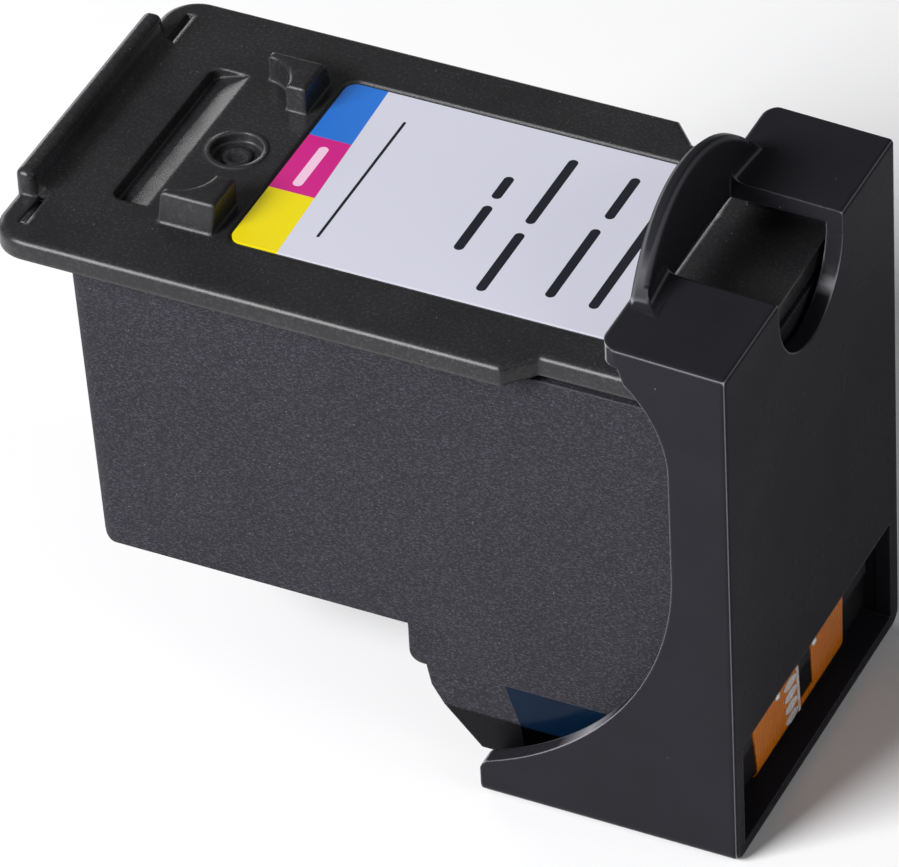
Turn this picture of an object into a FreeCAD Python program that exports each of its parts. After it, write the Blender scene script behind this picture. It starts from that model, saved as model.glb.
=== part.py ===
import FreeCAD, Part
import math
import os

# A three-colour inkjet cartridge with its print head in the nose, held in the U-shaped clip
# that protects the nozzles in transport. All sizes are in millimetres.
# X runs from the rear of the lid to the front of the clip, Z is up, and the part is mirrored
# about the X-Z plane apart from the label, the contacts and the tail of the tape.

# Heights, counted up from the underside of the clip
clip_floor = 1.2
floor_clearance = 0.35
tape_thickness = 0.1
bead_height = 0.15
flex_thickness = 0.12
nose_depth = 12.2
tank_depth = 29.6
lid_thickness = 1.8

# Lid
lid_length = 61.4
lid_flange_overhang = 2.7
lid_narrow_overhang = 0.3
lid_narrow_length = 16.7
lid_chamfer_run = 2.2
lid_corner_radius = 3.2
lid_edge_radius = 0.7
rib_base_width = 1.9
rib_top_width = 1.5
rib_length = 23.0
rib_height = 2.2
rib_radius = 0.6
groove_width = 0.7
groove_depth = 0.4
groove_length = 29.6
pocket_start = 7.1
pocket_run = 3.4
pocket_width = 18.4
pocket_depth = 1.1
pocket_radius = 1.0
recess_x = 13.8
recess_radius = 2.15
recess_depth = 0.8
recess_ring_width = 0.35
recess_ring_height = 0.12
pip_radius = 1.1
pip_depth = 1.4
lug_start = 12.2
lug_width = 4.7
lug_span = 21.4
lug_shoulder = 1.5
lug_arc_radius = 3.0
lug_height = 2.5
lug_draft = 0.8
lug_radius = 0.3
skirt_depth = 1.4
skirt_wall = 1.0
skirt_clearance = 0.1
presser_width = 1.2
vent_radius = 0.45
vent_groove_length = 9.0
vent_groove_depth = 0.25

# Label
label_start = 18.2
label_front_land = 9.4
label_width = 22.0
label_offset = 0.5
label_radius = 1.0
label_thickness = 0.2
label_sink = 0.24
label_margin = 0.4

# Housing
housing_width = 28.6
housing_rear_top = 5.4
housing_rear_bottom = 6.5
housing_wall = 1.5
housing_floor = 1.5
housing_edge_radius = 1.5
weld_gap_height = 0.9
weld_gap_depth = 0.8
rim_flange_inset = 1.4
rim_flange_start = 3.9
rim_flange_height = 1.0
rim_flange_radius = 0.8
partition_wall = 1.2
rear_chamber_length = 18.0
duct_width = 2.6
duct_height = 2.0
duct_radius = 0.7

# Nose, with its lengths counted back from the front face
nose_length = 27.3
nose_shoulder = 3.85
nose_shoulder_radius = 1.1
strip_length = 26.1
strip_heel_run = 0.45
strip_heel_height = 2.3
strip_heel_radius = 0.8
strip_inset = 0.35
strip_height = 4.05
tip_length = 24.6
tip_rear_run = 2.8
tip_side_run = 0.8
nose_lean = 0.3
nose_front_radius = 1.5
nose_cavity_drop = 2.2

# Ink path
tower_setback = 15.4
rear_tower_x = 17.0
tower_radius = 4.0
tower_wall = 0.8
tower_top_drop = 2.5
filter_thickness = 0.15
foam_clearance = 0.2
foam_top_drop = 2.1
ink_bore_radius = 0.8
ink_slot_pitch = 2.6

# Print head
head_setback = 10.9
head_plate_length = 17.0
head_plate_width = 20.0
head_plate_thickness = 1.0
die_length = 12.0
die_width = 9.0
die_thickness = 0.6
nozzle_plate_thickness = 0.05
ink_slot_width = 0.5
ink_slot_length = 9.0
bead_width = 1.6

# Flex circuit and its contacts
flex_width = 18.0
flex_foot_width = 16.8
flex_height = 29.0
flex_taper_height = 5.5
flex_rear_length = 18.5
flex_window_margin = 0.4
pad_radius = 0.85
pad_sides = 12
pad_thickness = 0.06
pad_pitch = 2.53
pad_rows = 6
pad_columns = 6
pad_row_pitch = 2.75
pad_first_height = 6.8
pad_first_y = -5.5
short_row_pads = 4
test_pad_length = 2.4
test_pad_height = 0.95
test_pad_pitch = 1.15
test_pad_count = 4
test_pad_y = -1.75
test_bar_width = 0.4
flex_slot_start = -0.1
flex_slot_width = 2.6
flex_slot_height = 4.2

# Nozzle tape
tape_setback = 17.8
tape_width = 14.5
tape_tail_gap = 0.1
tape_tail_slant = 1.3

# Transport clip, with its lengths counted back from its front
clip_wall = 1.55
clip_side_clearance = 0.35
clip_end_clearance = 0.55
clip_end_wall = 1.45
clip_floor_length = 22.4
clip_plate_length = 10.6
clip_plate_thickness = 1.25
clip_plate_rise = 0.45
clip_plate_gap = 2.6
clip_corner_radius = 1.7
clip_edge_radius = 0.4
clip_foot_radius = 1.4
cheek_setback = 5.0
cheek_arc_radius = 26.6
cheek_arc_height = 28.5
cheek_top_length = 9.5
cheek_top_drop = 2.7
cheek_top_run = 1.0
cheek_bend_drop = 10.4
cheek_bend_bulge = 0.75
cheek_tip_height = 3.9
cheek_tip_radius = 1.0
finger_hole_width = 12.4
finger_hole_drop = 7.8
window_height = 10.1
window_side_land = 0.1
tab_radius = 13.0
tab_height = 5.8
tab_thickness = 1.4
tab_overhang = 0.55
tab_curve_radius = 92.0
tab_rim_bevel = 0.4
tab_fillet = 1.2
clip_rib_width = 1.2
clip_rib_span = 18.0
clip_rib_clearance = 0.3

# Heights and faces that follow from the sizes above
tape_bottom = clip_floor + floor_clearance
flex_bottom = tape_bottom + tape_thickness + bead_height
nose_bottom = flex_bottom + flex_thickness
tank_bottom = nose_bottom + nose_depth
tank_top = tank_bottom + tank_depth
lid_top = tank_top + lid_thickness
strip_top = tank_bottom - nose_shoulder
strip_bottom = strip_top - strip_height
tank_floor = tank_bottom + housing_floor
side = housing_width / 2
lid_half = side + lid_flange_overhang
lid_narrow_half = side + lid_narrow_overhang
lid_wide_length = lid_length - lid_narrow_length
label_length = lid_length - label_front_land - label_start
nose_cavity_floor = tank_bottom - nose_cavity_drop
tower_top = tank_floor + tower_top_drop
foam_bottom = tower_top + filter_thickness
foam_top = tank_top - foam_top_drop
front_face = lid_length
flex_face = front_face + flex_thickness
clip_inner_front = front_face + clip_end_clearance
clip_front = clip_inner_front + clip_end_wall
clip_inner = lid_narrow_half + clip_side_clearance
clip_outer = clip_inner + clip_wall
clip_plate_bottom = lid_top + clip_plate_gap
clip_plate_top = clip_plate_bottom + clip_plate_thickness
clip_plate_start = clip_front - clip_plate_length
clip_floor_start = clip_front - clip_floor_length
tab_rear = clip_plate_start - tab_overhang
tab_front = tab_rear + tab_thickness
overall_length = clip_front
nose_start = front_face - nose_length
strip_start = front_face - strip_length
tip_start = front_face - tip_length
tower_x = front_face - tower_setback
head_x = front_face - head_setback
tape_start = front_face - tape_setback
strip_side = side - strip_inset
tip_side = strip_side - tip_side_run
chamber_side = side - housing_wall
chamber_rear = housing_rear_bottom + housing_wall
chamber_front = front_face - housing_wall
tower_y = (partition_wall / 2 + chamber_side) / 2
rear_wall_x = chamber_rear + rear_chamber_length
label_floor = lid_top - label_sink


def vec(x, y, z):
    return FreeCAD.Vector(x, y, z)


def box(x0, x1, y0, y1, z0, z1):
    """A block between two corners."""
    return Part.makeBox(x1 - x0, y1 - y0, z1 - z0, vec(x0, y0, z0))


def plate(points, z0, z1):
    """A plate of a plan outline given as x, y points."""
    wire = Part.makePolygon([vec(x, y, z0) for x, y in points + points[:1]])
    return Part.Face(wire).extrude(vec(0, 0, z1 - z0))


def side_prism(points, y0, y1):
    """A solid of a side outline given as x, z points, running across the part."""
    wire = Part.makePolygon([vec(x, y0, z) for x, z in points + points[:1]])
    return Part.Face(wire).extrude(vec(0, y1 - y0, 0))


def front_prism(points, x0, x1):
    """A solid of a front outline given as y, z points, running along the part."""
    wire = Part.makePolygon([vec(x0, y, z) for y, z in points + points[:1]])
    return Part.Face(wire).extrude(vec(x1 - x0, 0, 0))


def upright(x, y, z0, z1, radius):
    return Part.makeCylinder(radius, z1 - z0, vec(x, y, z0))


def tube_between(start, end, radius):
    """A round bore from one point to another."""
    way = end - start
    return Part.makeCylinder(radius, way.Length, start, way)


def arc_about(centre, start, end):
    """The shorter arc from one point to another about a centre."""
    way = (start - centre) + (end - centre)
    middle = centre + way * ((start - centre).Length / way.Length)
    return Part.Arc(start, middle, end).toShape()


def rounded(shape, radius, chosen):
    """The shape with a fillet on each edge that the chooser picks by its box."""
    edges = [edge for edge in shape.Edges if chosen(edge.BoundBox)]
    return shape.makeFillet(radius, edges) if edges else shape


def flat(low, high):
    return abs(high - low) < 0.001


def at(value, wanted):
    return abs(value - wanted) < 0.01


def rounded_plate(x0, x1, y0, y1, z0, z1, radius):
    """A plate with its four upright corners rounded."""
    shape = box(x0, x1, y0, y1, z0, z1)
    return rounded(shape, radius, lambda b: flat(b.XMin, b.XMax) and flat(b.YMin, b.YMax))


def union(shapes):
    first, rest = shapes[0], shapes[1:]
    return first.multiFuse(rest).removeSplitter() if rest else first


def save(shape, name):
    """Moves the piece so that the origin lies under the middle of the part, and writes it."""
    piece = shape.copy()
    piece.translate(vec(-overall_length / 2, 0, 0))
    piece.exportStep(f"parts/{name}.step")
    print(name, "solids", len(piece.Solids), "valid", piece.isValid(), "volume", round(piece.Volume, 2))


# Lid: one moulding, a plate with a wide flange over the rear and a narrow front between the
# clip's cheeks


def lid_outline():
    """The lid's plan: the wide flange, a slanted step on each side and the narrow front."""
    step = lid_wide_length + lid_chamfer_run
    return [(0, -lid_half), (lid_wide_length, -lid_half), (step, -lid_narrow_half), (lid_length, -lid_narrow_half),
            (lid_length, lid_narrow_half), (step, lid_narrow_half), (lid_wide_length, lid_half), (0, lid_half)]


def lid_lug(sign):
    """One of the two finger lugs: a post with a leaning outer side and a web hollowed by an arc."""
    outer = lug_span / 2
    front = lug_start + lug_width
    toe_y = outer - lug_shoulder - lug_arc_radius
    top = lid_top + lug_height
    block = box(lug_start, front, toe_y, outer, lid_top - lid_edge_radius, top)
    block = block.cut(upright(lug_start, toe_y, lid_top - 1, top + 1, lug_arc_radius))
    slope = front_prism([(toe_y, lid_top - 1), (outer, lid_top - 1), (outer, lid_top), (outer - lug_draft, top),
                         (toe_y, top)], lug_start, front)
    lug = rounded(block.common(slope), lug_radius, lambda b: at(b.ZMin, top) and at(b.ZMax, top))
    return lug if sign > 0 else lug.mirror(vec(0, 0, 0), vec(0, 1, 0))


def lid_rib():
    """The rib along the rear edge, upright behind and sloping in front, with a rounded crest."""
    top = lid_top + rib_height
    low = lid_top - lid_edge_radius
    outline = [(0, low), (0, top), (rib_top_width, top), (rib_base_width, lid_top), (rib_base_width, low)]
    rib = side_prism(outline, -rib_length / 2, rib_length / 2)
    return rounded(rib, rib_radius, lambda b: b.ZMax > top - 0.01)


def recess_ring():
    """The thin raised ring round the mouth of the recess."""
    outer = upright(recess_x, 0, lid_top, lid_top + recess_ring_height, recess_radius + recess_ring_width)
    return outer.cut(upright(recess_x, 0, lid_top - 1, lid_top + 1, recess_radius))


def lid_pocket():
    """The finger pocket, deep at its rear wall and running out to the surface at the front."""
    half = pocket_width / 2
    end = pocket_start + pocket_run
    foot = pocket_start + pocket_depth / 5
    over = 1.0
    wedge = side_prism([(pocket_start, lid_top + over), (pocket_start, lid_top), (foot, lid_top - pocket_depth),
                        (end, lid_top), (end, lid_top + over)], -half, half)
    shape = box(pocket_start - over, end, -half, half, lid_top - pocket_depth - over, lid_top + 2 * over)
    shape.translate(vec(over, 0, 0))
    shape = rounded(shape, pocket_radius,
                    lambda b: flat(b.XMin, b.XMax) and flat(b.YMin, b.YMax) and at(b.XMin, pocket_start))
    return wedge.common(shape)


def lid():
    blank = plate(lid_outline(), tank_top, lid_top)
    blank = rounded(blank, lid_corner_radius,
                    lambda b: at(b.XMax, 0) and flat(b.YMin, b.YMax))
    blank = rounded(blank, lid_edge_radius, lambda b: at(b.ZMin, lid_top) and b.XMin < lid_length - 0.01)
    shape = union([blank, lid_rib(), lid_lug(-1), lid_lug(1), recess_ring()])
    cuts = [box(rib_base_width, rib_base_width + groove_width, -groove_length / 2, groove_length / 2,
                lid_top - groove_depth, lid_top + 1),
            lid_pocket(),
            upright(recess_x, 0, lid_top - recess_depth, lid_top + 1, recess_radius),
            upright(recess_x, 0, lid_top - pip_depth, lid_top, pip_radius),
            label_recess()]
    cuts += vents()
    shape = shape.cut(Part.makeCompound(cuts))
    return union([shape, lid_skirt()] + lid_pressers())


def label_recess():
    half = label_width / 2 + label_margin
    start = label_start - label_margin
    end = label_start + label_length + label_margin
    return rounded_plate(start, end, label_offset - half, label_offset + half,
                         label_floor, lid_top + 1, label_radius + label_margin)


def chamber_middles():
    """The plan centre of the rear chamber and of the two front ones."""
    front = (rear_wall_x + partition_wall + chamber_front) / 2
    across = (partition_wall / 2 + chamber_side) / 2
    return [((chamber_rear + rear_wall_x) / 2, 0), (front, -across), (front, across)]


def vents():
    """A vent hole into each chamber with its breathing groove, all under the label."""
    cuts = []
    for x, y in chamber_middles():
        x = max(x, label_start + 2 * vent_radius)
        cuts.append(upright(x, y, tank_top - 1, lid_top, vent_radius))
        cuts.append(box(x, x + vent_groove_length, y - vent_radius, y + vent_radius,
                        label_floor - vent_groove_depth, label_floor + label_sink / 2))
    return cuts


def lid_skirt():
    """The upstand under the lid that drops inside the housing walls."""
    gap = skirt_clearance
    x0, x1 = chamber_rear + gap, chamber_front - gap
    y1 = chamber_side - gap
    ring = box(x0, x1, -y1, y1, tank_top - skirt_depth, tank_top)
    inner = box(x0 + skirt_wall, x1 - skirt_wall, -y1 + skirt_wall, y1 - skirt_wall,
                tank_top - skirt_depth - 1, tank_top + 1)
    wall = box(rear_wall_x - gap, rear_wall_x + partition_wall + gap, -side, side,
               tank_top - skirt_depth - 1, tank_top)
    spine = box(rear_wall_x, front_face, -partition_wall / 2 - gap, partition_wall / 2 + gap,
                tank_top - skirt_depth - 1, tank_top)
    return ring.cut(inner).cut(wall).cut(spine)


def lid_pressers():
    """Ribs under the lid that hold the foams down, two over each chamber."""
    ribs = []
    for index, (x, y) in enumerate(chamber_middles()):
        reach = chamber_side / 2 if index == 0 else chamber_side / 4
        for offset in (-4 * presser_width, 4 * presser_width):
            ribs.append(box(x + offset, x + offset + presser_width, y - reach, y + reach, foam_top, tank_top))
    return ribs


def label():
    half = label_width / 2
    return rounded_plate(label_start, label_start + label_length, label_offset - half, label_offset + half,
                         label_floor, label_floor + label_thickness, label_radius)


# Housing: the ink tank and the nose, moulded in one


def tank_block():
    """The tank's outer form, with its leaning rear wall and rounded rear and lower edges."""
    lean = (housing_rear_bottom - housing_rear_top) / (tank_top - tank_bottom)
    outline = [(housing_rear_bottom, tank_bottom), (front_face, tank_bottom), (front_face, tank_top),
               (housing_rear_bottom - lean * (tank_top - tank_bottom), tank_top)]
    block = side_prism(outline, -side, side)
    rear = housing_rear_bottom + 0.01
    return rounded(block, housing_edge_radius,
                   lambda b: b.XMax < rear and not (flat(b.ZMin, b.ZMax) and b.ZMin > tank_bottom + 1))


def nose_block():
    """The nose's outer form: a shoulder flush with the tank, an inset strip and a tapered tip."""
    shoulder = box(nose_start, front_face, -side, side, strip_top, tank_bottom + housing_floor)
    shoulder = rounded(shoulder, nose_shoulder_radius,
                       lambda b: at(b.XMax, nose_start) and at(b.ZMax, strip_top))
    strip_front = front_face + nose_lean * strip_height / (strip_top - nose_bottom)
    heel = strip_start + strip_heel_run
    strip = side_prism([(strip_start, strip_top + 1), (strip_start, strip_top), (heel, strip_top - strip_heel_height),
                        (tip_start, strip_bottom), (strip_front, strip_bottom), (front_face, strip_top),
                        (front_face, strip_top + 1)], -strip_side, strip_side)
    strip = rounded(strip, strip_heel_radius, lambda b: at(b.XMin, heel) and flat(b.XMin, b.XMax))
    upper = [(tip_start, -strip_side), (strip_front, -strip_side), (strip_front, strip_side), (tip_start, strip_side)]
    front = front_face + nose_lean
    rear = tip_start + tip_rear_run
    lower = [(rear, -tip_side), (front, -tip_side), (front, tip_side), (rear, tip_side)]
    wires = [Part.makePolygon([vec(x, y, z) for x, y in ring + ring[:1]])
             for ring, z in ((upper, strip_bottom), (lower, nose_bottom))]
    tip = Part.makeLoft(wires, True, True)
    tip = rounded(tip, nose_front_radius, lambda b: b.ZMax < nose_bottom + 0.01 and at(b.XMin, front))
    return union([shoulder, strip, tip])


def chambers():
    """The three ink chambers, with the front two stepping down into the nose."""
    top = tank_top + 1
    front_start = rear_wall_x + partition_wall
    cuts = [box(chamber_rear, rear_wall_x, -chamber_side, chamber_side, tank_floor, top)]
    for y0, y1 in ((-chamber_side, -partition_wall / 2), (partition_wall / 2, chamber_side)):
        cuts.append(box(front_start, chamber_front, y0, y1, tank_floor, top))
        cuts.append(box(nose_start + housing_wall, chamber_front, y0, y1, nose_cavity_floor, tank_floor + 1))
    return cuts


def towers():
    """The three standpipes that carry the filter screens."""
    places = [(tower_x, -tower_y, nose_cavity_floor), (tower_x, tower_y, nose_cavity_floor),
              (rear_tower_x, 0, tank_floor)]
    return [(x, y, z, upright(x, y, z - 0.5, tower_top, tower_radius)) for x, y, z in places]


def ink_duct():
    """The low rib on the centre line that carries the rear ink forward to the nose."""
    half = duct_width / 2
    top = tank_floor + duct_height
    low = box(rear_tower_x, nose_start + housing_wall, -half, half, tank_floor - 0.5, top)
    deep = box(nose_start + housing_wall - 0.5, chamber_front + 0.5, -half, half, nose_cavity_floor - 0.5, top)
    return [low, deep]


def ink_bores():
    """Bores from the standpipes to the three slots of the head plate."""
    slot_top = nose_bottom + head_plate_thickness
    cuts = [tube_between(vec(tower_x, sign * tower_y, nose_cavity_floor + 0.2),
                         vec(head_x, sign * ink_slot_pitch, slot_top), ink_bore_radius) for sign in (-1, 1)]
    level = tank_floor + duct_height / 2
    turn = vec(nose_start + housing_wall, 0, level)
    cuts.append(tube_between(vec(rear_tower_x, 0, level), turn, duct_radius))
    cuts.append(tube_between(turn, vec(head_x, 0, slot_top), duct_radius))
    return cuts


def weld_gap():
    """The narrow recess under the lid, left where the two mouldings are welded together."""
    z0 = tank_top - weld_gap_height
    outer = box(0, lid_length + 1, -lid_half, lid_half, z0, tank_top)
    depth = weld_gap_depth
    inner = box(0, front_face - depth, -side + depth, side - depth, z0 - 1, tank_top + 1)
    behind = box(0, lid_wide_length, -lid_half, lid_half, z0 - 1, tank_top + 1)
    return outer.cut(inner).cut(behind)


def rim_flange():
    """The rim round the tank's mouth that carries the lid's wide flange."""
    half = lid_half - rim_flange_inset
    bottom = tank_top - rim_flange_height
    rim = box(rim_flange_start, lid_wide_length, -half, half, bottom, tank_top)
    rim = rounded(rim, housing_edge_radius, lambda b: at(b.XMax, rim_flange_start) and flat(b.YMin, b.YMax))
    return rounded(rim, rim_flange_radius, lambda b: at(b.ZMax, bottom) and b.XMin < rim_flange_start + 0.01)


def housing():
    outer = union([tank_block(), nose_block(), rim_flange()])
    shell = outer.cut(Part.makeCompound(chambers()))
    pipes = towers()
    shell = union([shell] + [pipe for x, y, z, pipe in pipes] + ink_duct())
    cuts = [upright(x, y, z, tower_top + 1, tower_radius - tower_wall) for x, y, z, pipe in pipes]
    cuts += ink_bores()
    cuts.append(weld_gap())
    cuts.append(box(head_x - head_plate_length / 2, head_x + head_plate_length / 2, -head_plate_width / 2,
                    head_plate_width / 2, nose_bottom - 1, nose_bottom + head_plate_thickness))
    for cut in cuts:
        shell = shell.cut(cut)
    return shell


# Foams and filters


def foams():
    gap = foam_clearance
    rear = box(chamber_rear + gap, rear_wall_x - gap, -chamber_side + gap, chamber_side - gap,
               foam_bottom, foam_top)
    blocks = {"foam_rear": rear}
    for name, sign in (("foam_near", -1), ("foam_far", 1)):
        inner, outer = partition_wall / 2 + gap, chamber_side - gap
        y0, y1 = sorted((sign * inner, sign * outer))
        blocks[name] = box(rear_wall_x + partition_wall + gap, chamber_front - gap, y0, y1, foam_bottom, foam_top)
    return blocks


def filters():
    names = ("filter_near", "filter_far", "filter_rear")
    return {name: upright(x, y, tower_top, foam_bottom, tower_radius)
            for name, (x, y, z, pipe) in zip(names, towers())}


# Print head under the nose


def head_plate():
    """The ceramic plate that carries the die, with three ink slots through it."""
    shape = box(head_x - head_plate_length / 2, head_x + head_plate_length / 2, -head_plate_width / 2,
                head_plate_width / 2, nose_bottom, nose_bottom + head_plate_thickness)
    slots = [box(head_x - ink_slot_length / 2, head_x + ink_slot_length / 2, y - ink_slot_width / 2,
                 y + ink_slot_width / 2, nose_bottom - 1, nose_bottom + head_plate_thickness + 1)
             for y in (-ink_slot_pitch, 0, ink_slot_pitch)]
    seat = box(head_x - die_length / 2, head_x + die_length / 2, -die_width / 2, die_width / 2,
               nose_bottom - 1, nose_bottom - flex_thickness + die_thickness)
    return shape.cut(seat).cut(Part.makeCompound(slots))


def print_head_die():
    """The silicon die, flush with the underside of the flex circuit."""
    bottom = flex_bottom
    shape = box(head_x - die_length / 2, head_x + die_length / 2, -die_width / 2, die_width / 2,
                bottom, bottom + die_thickness)
    slots = [box(head_x - ink_slot_length / 2, head_x + ink_slot_length / 2, y - ink_slot_width / 4,
                 y + ink_slot_width / 4, bottom - 1, bottom + die_thickness + 1)
             for y in (-ink_slot_pitch, 0, ink_slot_pitch)]
    return shape.cut(Part.makeCompound(slots))


def nozzle_plate():
    """The thin plate over the die, between the two encapsulant beads."""
    half = die_length / 2 - bead_width / 2
    return box(head_x - half, head_x + half, -die_width / 2, die_width / 2,
               flex_bottom - nozzle_plate_thickness, flex_bottom)


def encapsulant_beads():
    """A half-round bead of resin over the bonded edge at each end of the die."""
    beads = []
    for sign in (-1, 1):
        x = head_x + sign * die_length / 2
        half = bead_width / 2
        low, crown = vec(x - half, 0, flex_bottom), vec(x, 0, flex_bottom - bead_height * 0.9)
        arc = Part.Arc(low, crown, vec(x + half, 0, flex_bottom)).toShape()
        face = Part.Face(Part.Wire([arc, Part.LineSegment(vec(x + half, 0, flex_bottom), low).toShape()]))
        bead = face.extrude(vec(0, die_width - bead_width, 0))
        bead.translate(vec(0, -(die_width - bead_width) / 2, 0))
        beads.append(bead)
    return Part.makeCompound(beads)


# Flex circuit: one film that runs down the front of the nose and under it to the die


def flex_centre_line():
    """The side outline of the film's inner face, from its top end to its rear end."""
    share = flex_taper_height / (strip_top - nose_bottom)
    lean_top = vec(front_face, 0, strip_top)
    lean_angle = math.atan2(nose_lean, strip_top - nose_bottom)
    radius = nose_front_radius
    corner = vec(front_face + nose_lean, 0, nose_bottom)
    reach = radius * math.tan((math.pi / 2 - lean_angle) / 2)
    return lean_top, lean_angle, radius, corner, reach, share


def flex_side_outline():
    """The film's side outline as a closed wire: front run, leaning run, bend and lower run."""
    lean_top, angle, radius, corner, reach, share = flex_centre_line()
    top = vec(front_face, 0, nose_bottom + flex_height)
    tangent_front = corner + vec(-math.sin(angle), 0, math.cos(angle)) * reach
    tangent_low = corner + vec(-reach, 0, 0)
    centre = tangent_low + vec(0, 0, radius)
    rear = vec(front_face - flex_rear_length, 0, nose_bottom)
    middle_angle = (angle - math.pi / 2) / 2
    facing = vec(math.cos(middle_angle), 0, math.sin(middle_angle))
    inner = [top, lean_top, tangent_front, centre + facing * radius, tangent_low, rear]
    outer_radius = radius + flex_thickness
    out_front = vec(math.cos(angle), 0, math.sin(angle)) * flex_thickness
    outer = [top + vec(flex_thickness, 0, 0), lean_top + vec(flex_thickness, 0, 0), tangent_front + out_front,
             centre + facing * outer_radius, tangent_low - vec(0, 0, flex_thickness),
             rear - vec(0, 0, flex_thickness)]
    edges = []
    for run in (inner, outer):
        edges += [Part.LineSegment(run[0], run[1]).toShape(), Part.LineSegment(run[1], run[2]).toShape(),
                  Part.Arc(run[2], run[3], run[4]).toShape(), Part.LineSegment(run[4], run[5]).toShape()]
    edges += [Part.LineSegment(inner[0], outer[0]).toShape(), Part.LineSegment(inner[5], outer[5]).toShape()]
    return Part.Wire(Part.__sortEdges__(edges))


def flex_circuit():
    half = flex_width / 2
    foot = flex_foot_width / 2
    film = Part.Face(flex_side_outline()).extrude(vec(0, flex_width, 0))
    film.translate(vec(0, -half, 0))
    taper_top = nose_bottom + flex_taper_height
    x0, x1 = front_face - flex_rear_length - 1, front_face + nose_lean + 2
    keep = front_prism([(-foot, flex_bottom - 1), (foot, flex_bottom - 1), (foot, nose_bottom), (half, taper_top),
                        (half, nose_bottom + flex_height + 1), (-half, nose_bottom + flex_height + 1),
                        (-half, taper_top), (-foot, nose_bottom)], x0, x1)
    film = film.common(keep)
    window_x = die_length / 2 + flex_window_margin
    window_y = die_width / 2 + flex_window_margin
    window = box(head_x - window_x, head_x + window_x, -window_y, window_y, flex_bottom - 1, nose_bottom + 1)
    slot_top = nose_bottom + pad_first_height - pad_radius
    slot = box(front_face - 1, x1, flex_slot_start, flex_slot_start + flex_slot_width,
               slot_top - flex_slot_height, slot_top)
    return film.cut(window).cut(slot)


def on_film(pad, y, z):
    """Stands a pad made flat at the origin on the film's front, tilted where the nose leans out."""
    pad.rotate(vec(0, 0, 0), vec(0, 1, 0), 90)
    x = flex_face
    if z < strip_top:
        run = strip_top - nose_bottom
        pad.rotate(vec(0, 0, 0), vec(0, 1, 0), -math.degrees(math.atan2(nose_lean, run)))
        x += nose_lean * (strip_top - z) / run
    pad.translate(vec(x, y, z))
    return pad


def flat_pad(half_height, half_width):
    """A many-sided pad lying at the origin, its height along X and its width along Y."""
    turns = [2 * math.pi * (index + 0.5) / pad_sides for index in range(pad_sides)]
    return plate([(half_height * math.cos(turn), half_width * math.sin(turn)) for turn in turns], 0, pad_thickness)


def contact_pads():
    """Round contact pads in staggered rows, the lowest row a short one."""
    pads = []
    for row in range(pad_rows):
        z = nose_bottom + pad_first_height + row * pad_row_pitch
        count = short_row_pads if row == 0 else pad_columns
        start = pad_first_y - (row % 2) * pad_pitch / 2
        for column in range(count):
            pads.append(on_film(flat_pad(pad_radius, pad_radius), start + column * pad_pitch, z))
    return Part.makeCompound(pads)


def test_pads():
    """A stack of small oval probe pads with an upright bar beside it, below the contact rows."""
    pads = []
    first = nose_bottom + pad_first_height - pad_radius - test_pad_height
    for index in range(test_pad_count):
        oval = flat_pad(test_pad_height / 2, test_pad_length / 2)
        pads.append(on_film(oval, test_pad_y, first - index * test_pad_pitch))
    bar_height = test_pad_count * test_pad_pitch
    bar = Part.makeBox(bar_height, test_bar_width, pad_thickness)
    pads.append(on_film(bar, flex_slot_start - test_bar_width, first + test_pad_pitch / 2))
    return Part.makeCompound(pads)


# Nozzle tape: a strip under the head with its tail folded up the near side of the nose


def nozzle_tape():
    t = tape_thickness
    top = tape_bottom + t
    tail_top = strip_top - tape_tail_gap
    slope = tip_side_run / (strip_bottom - nose_bottom)
    low_side = tip_side - slope * (top - nose_bottom)
    inner = [(tip_side, top), (-low_side, top), (-strip_side, strip_bottom), (-strip_side, tail_top)]
    outer = [(-strip_side - t, tail_top), (-strip_side - t, strip_bottom), (-low_side - t, top - t),
             (tip_side, top - t)]
    end = tape_start + tape_width
    strip = front_prism(inner + outer, tape_start - tape_tail_slant, end)
    slanted = [(tape_start - tape_tail_slant, tail_top + 1), (tape_start - tape_tail_slant, tail_top),
               (tape_start, strip_bottom), (tape_start, tape_bottom - 1), (end, tape_bottom - 1), (end, tail_top + 1)]
    return strip.common(side_prism(slanted, -lid_half, lid_half))


# Transport clip: one moulding, two cheeks, an end wall, a floor and a top plate with a thumb tab


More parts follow.
